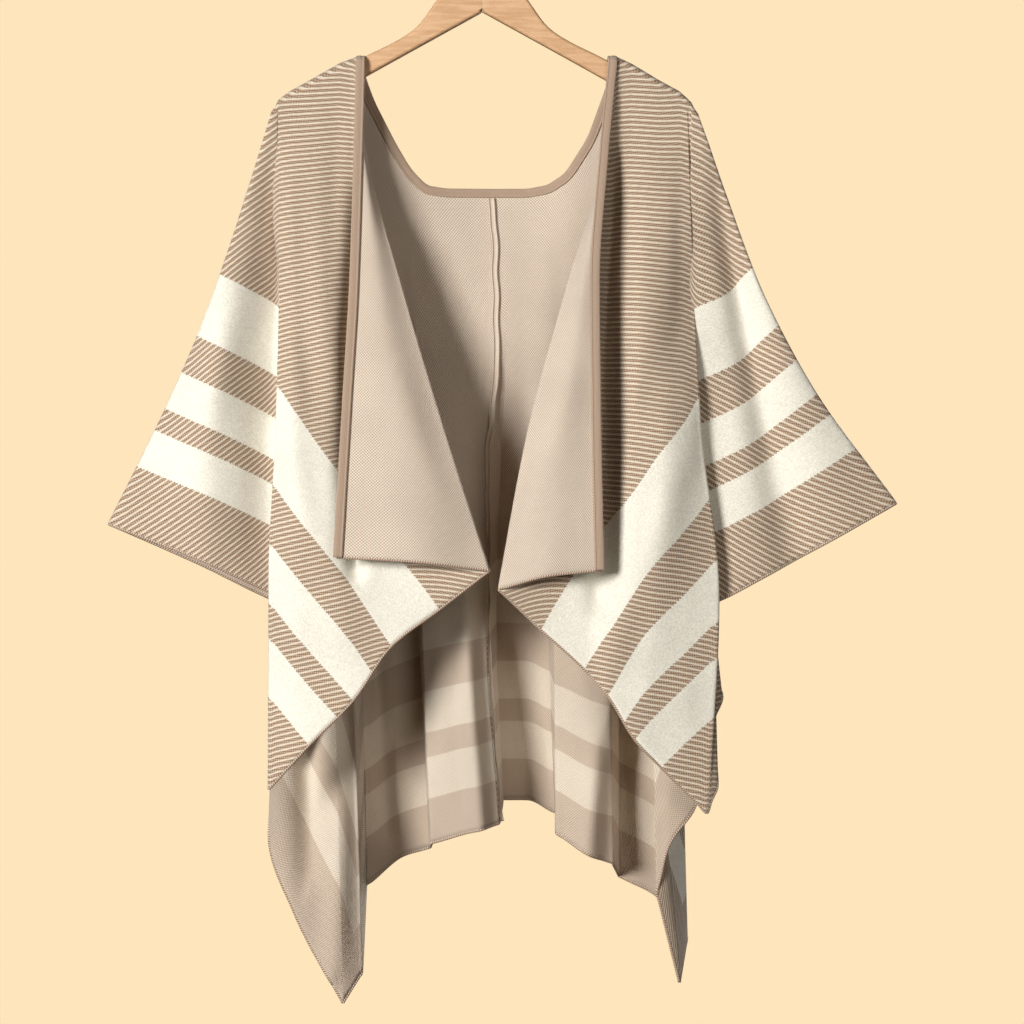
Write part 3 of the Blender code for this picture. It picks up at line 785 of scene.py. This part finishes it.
TAUPE: Colour = (0.56, 0.405, 0.28, 1)
# The dark taupe yarn of the outside's specks, also used as painted shade between the stitches of
# the rib and the linked edge's cord.
DARK_TAUPE_AND_SHADE: Colour = (0.22, 0.14, 0.085, 1)
RIDGE_CREAM: Colour = (0.86, 0.76, 0.62, 1)
BAND_CREAM: Colour = (0.83, 0.8, 0.7, 1)
LINING_CREAM: Colour = (0.86, 0.75, 0.63, 1)
LINING_BROWN: Colour = (0.56, 0.43, 0.31, 1)
LINING_TAUPE: Colour = (0.34, 0.24, 0.17, 1)
LINING_BAND: Colour = (0.9, 0.82, 0.69, 1)
LINING_BAND_DARK: Colour = (0.5, 0.385, 0.285, 1)
RIB_TAUPE: Colour = (0.66, 0.49, 0.37, 1)
CORD_TAUPE: Colour = (0.6, 0.44, 0.33, 1)
SEAM_TAUPE: Colour = (0.5, 0.37, 0.27, 1)
BEECH: Colour = (0.72, 0.45, 0.25, 1)
BEECH_GRAIN: Colour = (0.58, 0.335, 0.17, 1)
BEECH_FLECK: Colour = (0.42, 0.22, 0.10, 1)
STEEL: Colour = (0.66, 0.66, 0.65, 1)
STEEL_MARK: Colour = (0.55, 0.55, 0.55, 1)
FUZZ = 0.3  # how much the wool's fuzz varies a colour


@dataclass(frozen=True)
class Finish:
    """What every finish has: its name and the values that its shader takes all over."""

    name: str
    roughness: float = 0.85
    sheen: float = 0.0
    sheen_roughness: float = 0.5
    metallic: float = 0.0
    coat: float = 0.0

    def start(self) -> tuple[Material, Wiring, Node]:
        """A new material, its wiring, and its Principled shader with the values set."""
        made = bpy.data.materials.new(self.name)
        made.use_nodes = True
        shader = made.node_tree.nodes["Principled BSDF"]
        set_inputs(shader, {
            "Roughness": self.roughness, "Metallic": self.metallic, "Coat Weight": self.coat,
            "Sheen Weight": self.sheen, "Sheen Roughness": self.sheen_roughness})
        return made, Wiring(made.node_tree), shader

    @staticmethod
    def dress(w: Wiring, shader: Node, colour: object, height: object, depth: float) -> None:
        """Joins a colour and a height of depth millimetres to the shader."""
        bump = w.add("Bump", {"Strength": 1.0, "Distance": depth * MM, "Height": height})
        w.tree.links.new(colour, shader.inputs["Base Color"])
        w.tree.links.new(bump.outputs[0], shader.inputs["Normal"])


@dataclass(frozen=True)
class JacquardFace(Finish):
    """The outside: taupe with fine cream diagonal ridges, and plain cream bands."""

    def build(self, yarn: YarnGroups) -> Material:
        """The material."""
        made, w, shader = self.start()
        cut = w.cut_place()
        stitches = yarn.stitched(w, cut, STITCH, COURSE)
        band = w.add("Group", {0: cut}, node_tree=yarn.bands).outputs[0]
        wool = w.add("Group", {0: w.solid_place()}, node_tree=yarn.wool)
        u, v = w.in_mm(cut)
        run = w.math("ADD", w.math("DIVIDE", u, RIDGE_ACROSS), w.math("DIVIDE", v, RIDGE_DOWN))
        bite = w.times(w.wave(w.math("DIVIDE", u, STITCH)), 0.1)
        ridge = w.wave(w.math("ADD", run, bite))
        line = w.times(w.ramp(ridge, 0.5, 0.95), 0.9)
        ground = w.mix(specks(w, u, v, 0.6), DARK_TAUPE_AND_SHADE, TAUPE)
        colour = w.mix(band, w.mix(line, ground, RIDGE_CREAM), BAND_CREAM)
        shade = w.scaled(wool.outputs["Fuzz"], FUZZ, 0.75)
        shade = w.scaled(stitches.outputs["Each"], 0.2, shade)
        # The stitches' relief darkens the colour in the low places between them: painted shade,
        # stronger on the bands. The fuzz, each stitch's random value and the slow tone are real
        # unevenness.
        knit = w.scaled(band, 0.2, 0.3)
        stitch_shade_and_tone = ((stitches.outputs[0], knit, 0.82), (wool.outputs["Tone"], 0.06, 0.97))
        for value, span, least in stitch_shade_and_tone:
            shade = w.times(shade, w.scaled(value, span, least))
        ribbed = w.times(ridge, w.math("SUBTRACT", 1.0, band))
        height = w.scaled(ribbed, 0.7, w.times(stitches.outputs[0], 0.45))
        height = w.scaled(wool.outputs["Fuzz"], 0.2, height)
        self.dress(w, shader, w.mix(1.0, colour, shade, "MULTIPLY"), height, 0.5)
        return made


@dataclass(frozen=True)
class BirdseyeFace(Finish):
    """The inside: cream and taupe specks, with the bands faint and the cloth browner by them."""

    def build(self, yarn: YarnGroups) -> Material:
        """The material."""
        made, w, shader = self.start()
        cut = w.cut_place()
        band, border = w.add("Group", {0: cut}, node_tree=yarn.bands).outputs
        speck = specks(w, *w.in_mm(cut), 0.5)
        browned = w.mix(w.times(border, 0.42), LINING_CREAM, LINING_BROWN)
        dark, light = w.mix(band, LINING_TAUPE, LINING_BAND_DARK), w.mix(band, browned, LINING_BAND)
        colour = w.mix(w.scaled(speck, 0.75, 0.22), dark, light)
        colour, fuzz = yarn.fuzzed(w, colour, tone=0.07)
        self.dress(w, shader, colour, w.scaled(fuzz, FUZZ, speck), 0.35)
        return made


@dataclass(frozen=True)
class RibFace(Finish):
    """Fine taupe rib, with its columns of stitches across the strip and painted shade between them.
    """

    stitch_width: float = 1.9
    stitch_height: float = 1.5

    def build(self, yarn: YarnGroups) -> Material:
        """The material."""
        made, w, shader = self.start()
        relief = yarn.stitched(w, w.cut_place(), self.stitch_width, self.stitch_height).outputs[0]
        # The rib's low places take the dark taupe: painted shade between the stitches.
        colour = w.mix(w.scaled(relief, 0.7, 0.2), DARK_TAUPE_AND_SHADE, RIB_TAUPE)
        colour, fuzz = yarn.fuzzed(w, colour)
        self.dress(w, shader, colour, w.scaled(fuzz, FUZZ, relief), 0.35)
        return made


@dataclass(frozen=True)
class LinkedFace(Finish):
    """A linked edge: a taupe cord of slanting stitches with painted shade between them, and a row
    of cream loops on the cloth.
    """

    loop_pitch: float = 2.7

    def build(self, yarn: YarnGroups) -> Material:
        """The material."""
        made, w, shader = self.start()
        run, turn = w.in_mm(w.cut_place())
        lean = w.scaled(turn, 0.12, w.math("DIVIDE", run, self.loop_pitch))
        stitch = w.wave(lean)
        around = w.math("DIVIDE", turn, LinkedEdge.girth())
        inner = w.ramp(w.math("ABSOLUTE", w.math("SUBTRACT", around, 0.5)), 0.3, 0.12)
        loops = w.times(w.ramp(stitch, 0.45, 0.8), inner)
        # The cord is darker between its stitches: painted shade.
        cord = w.mix(w.ramp(stitch, 0.1, 0.6), DARK_TAUPE_AND_SHADE, CORD_TAUPE)
        self.dress(w, shader, yarn.fuzzed(w, w.mix(loops, cord, LINING_CREAM))[0], stitch, 0.5)
        return made


@dataclass(frozen=True)
class SeamFace(Finish):
    """The seam allowances: slanting overlock stitches in the lining's colours."""

    stitch_pitch: float = 1.9

    def build(self, yarn: YarnGroups) -> Material:
        """The material."""
        made, w, shader = self.start()
        run, turn = w.in_mm(w.cut_place())
        stitch = w.wave(w.math("DIVIDE", w.math("ADD", run, turn), self.stitch_pitch))
        colour = w.mix(w.ramp(stitch, 0.0, 0.5), SEAM_TAUPE, LINING_CREAM)
        self.dress(w, shader, yarn.fuzzed(w, colour)[0], stitch, 0.4)
        return made


@dataclass(frozen=True)
class BeechFace(Finish):
    """Lacquered beech, with its grain along the arm of the hanger."""

    slope: float = ARM_SLOPE

    def build(self) -> Material:
        """The material."""
        made, w, shader = self.start()
        place, tilt = w.solid_place(), (0, radians(self.slope), 0)
        along, flecks = (w.add("Mapping", {0: place, 2: tilt, 3: squeeze}).outputs[0]
                         for squeeze in ((6, 60, 60), (180, 900, 900)))
        grain = w.noise(along, 4.0, 6.0, Distortion=0.4)
        fleck = w.noise(flecks, 1.0, 1.0)
        colour = w.mix(w.ramp(grain, 0.3, 0.72), BEECH, BEECH_GRAIN)
        colour = w.mix(w.times(w.ramp(fleck, 0.6, 0.72), 0.35), colour, BEECH_FLECK)
        self.dress(w, shader, colour, w.math("ADD", grain, w.times(fleck, 0.3)), 0.06)
        rough = w.scaled(grain, 0.18, self.roughness)
        w.tree.links.new(rough, shader.inputs["Roughness"])
        return made


@dataclass(frozen=True)
class SteelFace(Finish):
    """Bright plated wire with faint drawing marks."""

    def build(self) -> Material:
        """The material."""
        made, w, shader = self.start()
        marks = w.noise(w.solid_place(), 700.0, 2.0)
        self.dress(w, shader, w.mix(marks, STEEL, STEEL_MARK), marks, 0.01)
        w.tree.links.new(w.scaled(marks, 0.2, self.roughness), shader.inputs["Roughness"])
        return made


@dataclass
class KnitHalf:
    """One half of the garment: a single knitted piece, front, sleeve and back."""

    half: HalfSurface
    outside: Material
    inside: Material
    seam_gap: float = 0.5

    def build(self) -> Object:
        """The piece, as a wall with its two faces."""
        half, side = self.half, self.half.side.word
        along = half.columns(0.0, half.end_at - self.seam_gap)
        lengths = half.lengths(along)
        rest = np.linspace(0, 1, CLOTH_ROWS + 1)[1:]
        last = TOP_ROWS[-1]
        down = np.array([[*TOP_ROWS, *(last + (length - last) * rest)] for length in lengths])
        flat = np.stack(half.cut(along, down / lengths[:, None]), axis=-1) * MM
        made = laid_grid(half.surface(along, down), flat, flip=half.side is Side.LEFT)
        piece = add_piece(f"{side}_knit", made, (self.outside, self.inside),
                          (f"{side}_front", f"{side}_back"))
        wall = piece.modifiers.new("wall", "SOLIDIFY")
        wall.thickness, wall.offset, wall.material_offset = CLOTH * MM, 0.0, 1
        return piece


def rib_profile(width: float, thickness: float, both: bool, points: int = 44) -> Array:
    """The rounded flat section of a binding, with the groove of its seam near the inner edge."""
    a, b = round_section(points, 2 / 4.5)
    a, b = width / 2 * a, thickness / 2 * b
    groove = sum(deep * np.exp(-(((a - width * share) / wide) ** 2))
                 for deep, share, wide in RIB_GROOVE)
    swell = RIB_SWELL * (1 - (2 * a / width) ** 2)
    shown = np.ones_like(b) if both else b > 0
    return np.stack([a, b + np.where(shown, np.sign(b) * (swell - groove), 0)], axis=-1)


@dataclass
class RibBinding:
    """The rib strip up the front edges and round the back of the neck, in three stretches."""

    finish: Material
    width: float = BINDING_WIDTH + BINDING_OVER
    rows: int = 200
    lapel_columns: int = 100
    neck_columns: int = 110  # on each half
    past_hem: float = 0.4
    below_shoulder: float = 8.0  # where a front stretch leaves the lapel to turn over the shoulder
    over_shoulder: float = 0.3
    turns: Sequence[int] = range(8, 161, 8)  # degrees of that turn

    def front(self, half: HalfSurface) -> Object:
        """The stretch on a turned-back front edge, from the hem over the shoulder."""
        inward = -half.side.value
        length = half.lengths(np.zeros(1))[0]
        downs = np.linspace(length + self.past_hem, self.below_shoulder, self.rows)
        along = np.linspace(0, LAPEL_END, self.lapel_columns)
        lapel = half.surface(along, np.tile(downs, (self.lapel_columns, 1)))
        outer = lapel[0]
        reach = inward * (lapel[..., 0] - outer[None, :, 0])
        under = np.where((reach > -2) & (reach < self.width), lapel[..., 1], np.inf).min(axis=0)
        middle = inward * (self.width / 2 - BINDING_OVER)
        front = eased(under, 8) - (CLOTH + FRONT_RIB_THICK) / 2
        path = [(x + middle, y, z) for x, y, z in zip(outer[:, 0], front, outer[:, 2])]
        (x, y, z), top = path[-1], float(half.top_point(np.zeros(1))[2][0])
        rise = top + self.over_shoulder - z
        path += [(x, y * cos(turn), z + rise * sin(turn)) for turn in map(radians, self.turns)]
        path = np.array(path)
        across, lift = frames_along(path, np.array([[inward, 0.0, 0.0]]))
        lift *= -np.sign(lift[0, 1])
        made = swept(path, across, lift, rib_profile(self.width, FRONT_RIB_THICK, both=False))
        side = half.side.word
        return add_piece(f"{side}_front_rib", made, (self.finish,),
                         (f"{side}_front_binding",))

    def neck(self) -> Object:
        """The stretch round the back of the neck, wrapped over the cloth's edge."""
        stretches = []
        for half in (RIGHT_HALF, LEFT_HALF):
            tops = np.linspace(-0.6, -BACK_WIDTH, self.neck_columns)
            along = np.array([half.place_of_top(top) for top in tops])
            near = half.surface(along, np.tile((0.0, 6.0), (len(along), 1)), creased=False)
            stretches.append(near if half is RIGHT_HALF else near[-2::-1])
        edge, inner = np.moveaxis(np.concatenate(stretches), 1, 0).copy()
        towards = unit(inner - edge)
        for part in (edge, towards):
            for axis in range(3):
                part[4:-4, axis] = eased(part[:, axis], 4)[4:-4]
        across, lift = frames_along(edge, towards)
        path = edge + across * (self.width / 2 - BINDING_OVER)
        made = swept(path, across, lift, rib_profile(self.width, NECK_RIB_THICK, both=True))
        return add_piece("neck_rib", made, (self.finish,), ("neck_binding",))


@dataclass
class LinkedEdge:
    """The linked edge round the front hem, the sleeve and the back hem of one half."""

    half: HalfSurface
    finish: Material
    radius: float = 1.6
    step: float = 2.3  # between the rings of its mesh
    start_gap: float = 2.0
    end_gap: float = 1.0
    look_in: float = 6.0  # how far in from the edge the cloth's direction is read

    @staticmethod
    def girth() -> float:
        """The distance round the cord, in millimetres."""
        return 2 * pi * LinkedEdge.radius

    def build(self) -> Object:
        """The cord, on the edge of the cloth."""
        half = self.half
        rings = int(half.end_at / self.step)
        along = np.linspace(self.start_gap, half.end_at - self.end_gap, rings)
        lengths = half.lengths(along)
        points = half.surface(along, np.stack([lengths - self.look_in, lengths], axis=1))
        across, lift = frames_along(points[:, 1], unit(points[:, 1] - points[:, 0]))
        made = swept(points[:, 1], across, lift, wire_section(self.radius, 12))
        return add_piece(f"{half.side.word}_linked_edge", made, (self.finish,))


@dataclass
class SeamRidge:
    """The centre-back seam's allowances, standing up on the inside."""

    finish: Material
    rows: int = 260
    half_thick: float = 1.1
    bead: float = 1.8  # height of the bead along each allowance's edge
    narrows: tuple[float, float] = (0.3, 0.6)  # shares of its length between which it narrows
    tucks: tuple[float, float] = (0.52, 0.64)  # and between which it goes behind a fold
    tuck_aside: float = 3.2
    tuck_back: float = 9.0

    def build(self) -> Object:
        """The two allowances, as one wavy ridge that narrows where the back folds away."""
        right, left = RIGHT_HALF, LEFT_HALF
        length = right.lengths(np.array([right.end_at]))[0]
        downs = np.linspace(BINDING_WIDTH + 1, length - 2, self.rows)
        shares = downs / length
        narrow = np.interp(shares, self.narrows, (SEAM_HALF, SEAM_HALF / 4))
        here = np.array([right.end_at - SEAM_HALF, right.end_at])
        one, middle = right.surface(here, np.tile(downs, (2, 1)))
        two = np.array([left.surface(np.array([left.end_at - wide]), [[down]])[0, 0]
                        for wide, down in zip(narrow, downs)])
        front = np.minimum(np.minimum(one[:, 1], middle[:, 1]), two[:, 1])
        path = middle.copy()
        path[:, 0] += 1.2 * np.sin(downs / 27) + 0.9 * np.sin(downs / 9 + 1) * np.sin(downs / 61)
        tucked = np.interp(shares, self.tucks, (0, 1))
        path[:, 0] += self.tuck_aside * tucked
        path[:, 1] = front - (CLOTH / 2 + self.half_thick) + self.tuck_back * tucked
        a, b = round_section(40, 0.5)
        b *= self.half_thick
        b += np.where(b > 0, self.bead * np.exp(-(((np.abs(a) - 0.72) / 0.2) ** 2)), 0)
        wide = np.where(a[None] < 0, a * (SEAM_HALF - 1.2), a * narrow[:, None])
        sections = np.stack(np.broadcast_arrays(wide, b[None]), axis=-1)
        across, lift = frames_along(path, np.array([[1.0, 0.0, 0.0]]))
        lift *= -np.sign(lift[0, 1])
        made = swept(path, across, lift, sections)
        return add_piece("seam_ridge", made, (self.finish,), ("back_seam",))


@dataclass
class WoodenHanger:
    """The hanger: two beech arms joined in the middle, and a wire hook."""

    arm_finishes: dict[Side, Material]
    hook_finish: Material
    outline_points: int = 130
    hook_points: int = 22
    wire_rings: int = 160
    wire_sides: int = 20
    end_roundness: float = 0.96

    def arm(self, side: Side) -> Object:
        """One arm: its outline, given its thickness, with rounded edges."""
        corners = np.array([*WOOD_UPPER, *WOOD_LOWER], float)
        steps = run_along(corners)
        outline = through(steps, corners, np.linspace(0, steps[-1], self.outline_points))
        made = bmesh.new()
        near = [made.verts.new((side.value * (x + JOINT_GAP) * MM, -WOOD_THICK / 2 * MM, z * MM))
                for x, z in outline]
        pushed = bmesh.ops.extrude_face_region(made, geom=[made.faces.new(near)])
        far = [v for v in pushed["geom"] if isinstance(v, bmesh.types.BMVert)]
        bmesh.ops.translate(made, vec=(0, WOOD_THICK * MM, 0), verts=far)
        bmesh.ops.recalc_face_normals(made, faces=made.faces)
        rims = [e for e in made.edges if abs(e.verts[0].co.y - e.verts[1].co.y) < 1e-6]
        rims = [e for e in rims if any(abs(v.co.x) > 2 * JOINT_GAP * MM for v in e.verts)]
        bmesh.ops.bevel(made, geom=rims, offset=WOOD_BEVEL * MM, segments=6, profile=0.5,
                        affect="EDGES", material=-1)
        piece = add_piece(f"{side.word}_beech_arm", made, (self.arm_finishes[side],),
                          (f"{side.word}_hanger_arm",))
        piece.modifiers.new("flat faces stay flat", "WEIGHTED_NORMAL")
        return piece

    def hook(self) -> Object:
        """The hook: a stem up from the wood, then round over the place where it bears."""
        radius = HOOK_INNER + HOOK_WIRE / 2
        turns = np.radians(np.linspace(HOOK_START, HOOK_END, self.hook_points))
        curve = ((radius * cos(a), radius * sin(a) - HOOK_INNER) for a in turns)
        route = np.array([*HOOK_STEM, *curve])
        steps = run_along(route)
        runs = np.linspace(0, steps[-1], self.wire_rings)
        smooth = through(steps, route, runs)
        path = np.stack([smooth[:, 0], 0 * runs, smooth[:, 1]], axis=-1)
        across, lift = frames_along(path, np.array([[0.0, 1.0, 0.0]]))
        wire = HOOK_WIRE / 2
        left = (steps[-1] - runs).clip(0, wire)
        girth = np.sqrt(1 - (1 - left / wire) ** 2 * self.end_roundness)[:, None, None]
        made = swept(path, across, lift, wire_section(wire, self.wire_sides) * girth)
        return add_piece("wire_hook", made, (self.hook_finish,), ("hanger_hook",))


@dataclass(frozen=True)
class Studio:
    """A plain pale dome with a flat floor, soft lights, and the camera."""

    wall_colour: Colour = (0.991, 0.783, 0.503, 1)
    sky_colour: Colour = (1.0, 0.76, 0.55, 1)
    sky_strength: float = 0.034
    dome_radius: float = 12.0
    floor_z: float = -1.9
    middle: Point = (0.03, 0, -0.65)  # of the garment, which the lights face
    camera_place: Point = (0.0325, -3.0, -0.6787)
    view_width: float = 1.1264  # across the view, at the hanger
    sensor: float = 36.0

    def dome(self) -> None:
        """A plain pale floor, with a wall of the same colour all round and overhead."""
        made = bmesh.new()
        bmesh.ops.create_uvsphere(made, u_segments=64, v_segments=32, radius=self.dome_radius)
        for vert in made.verts:
            vert.co.z = max(vert.co.z, self.floor_z)
        bmesh.ops.remove_doubles(made, verts=made.verts, dist=0.001)
        bmesh.ops.reverse_faces(made, faces=made.faces)
        paper = bpy.data.materials.new("pale paper")
        paper.use_nodes = True
        set_inputs(paper.node_tree.nodes["Principled BSDF"], {
            "Base Color": (0.0, 0.0, 0.0, 1), "Specular IOR Level": 0.0, "Roughness": 1.0,
            "Emission Color": self.wall_colour, "Emission Strength": 1.0})
        wall = placed_object("dome", smooth_mesh("dome", made, paper))
        wall.visible_diffuse = wall.visible_glossy = wall.visible_shadow = False

    def light(self, name: str, spot: Point, size: float, power: float,
              colour: Point = (1.0, 0.98, 0.95)) -> None:
        """A square soft light that looks at the middle of the garment."""
        lamp = bpy.data.lights.new(name, "AREA")
        lamp.shape, lamp.size, lamp.energy, lamp.color = "SQUARE", size, power, colour
        lit = placed_object(name, lamp)
        lit.location = spot
        aim = Vector(self.middle) - lit.location
        lit.rotation_euler = aim.to_track_quat("-Z", "Y").to_euler()

    def lights(self) -> None:
        """A soft key on one side, a fill in front, one behind, and a little light all round."""
        self.light("key", (-2.95, -4.05, 0.05), 1.4, 300)
        self.light("fill", (1.3, -3.2, 0.0), 1.4, 24, (1.0, 0.95, 0.88))
        self.light("back", (1.5, 2.9, 0.2), 1.6, 95)
        world = bpy.data.worlds.new("studio")
        world.use_nodes = True
        sky = {"Color": self.sky_colour, "Strength": self.sky_strength}
        set_inputs(world.node_tree.nodes["Background"], sky)
        bpy.context.scene.world = world

    def camera(self) -> None:
        """The camera, level and square to the front."""
        lens = bpy.data.cameras.new("camera")
        lens.sensor_width = self.sensor
        lens.lens = self.sensor * -self.camera_place[1] / self.view_width
        camera = placed_object("camera", lens)
        camera.location = self.camera_place
        camera.rotation_euler = (pi / 2, 0, 0)
        bpy.context.scene.camera = camera

    def build(self) -> None:
        """The whole studio, with colours shown as they are."""
        self.dome()
        self.lights()
        self.camera()
        bpy.context.scene.view_settings.view_transform = "Standard"


def main() -> None:
    """Builds the garment and its hanger round the frame."""
    logging.basicConfig(level=logging.INFO, format="%(name)s: %(message)s")
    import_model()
    Studio().build()

    yarn = YarnGroups()
    outside = JacquardFace("jacquard knit", sheen=0.25).build(yarn)
    inside = BirdseyeFace("birdseye knit", sheen=0.25).build(yarn)
    rib = RibBinding(RibFace("taupe rib", sheen=0.2).build(yarn))
    linked = LinkedFace("linked edge", sheen=0.2).build(yarn)

    neck = rib.neck()
    seam = SeamRidge(SeamFace("seam allowance", sheen=0.2).build(yarn)).build()
    for half in (RIGHT_HALF, LEFT_HALF):
        knit = KnitHalf(half, outside, inside).build()
        edge = LinkedEdge(half, linked).build()
        front = rib.front(half)

    beech = {side: BeechFace(f"beech {side.word}", roughness=0.5, coat=0.04,
                             slope=side.value * ARM_SLOPE).build() for side in Side}
    hanger = WoodenHanger(beech, SteelFace("plated wire", roughness=0.2, metallic=1.0).build())
    for side in Side:
        hanger.arm(side)
    hanger.hook()


if __name__ == "__main__":
    main()
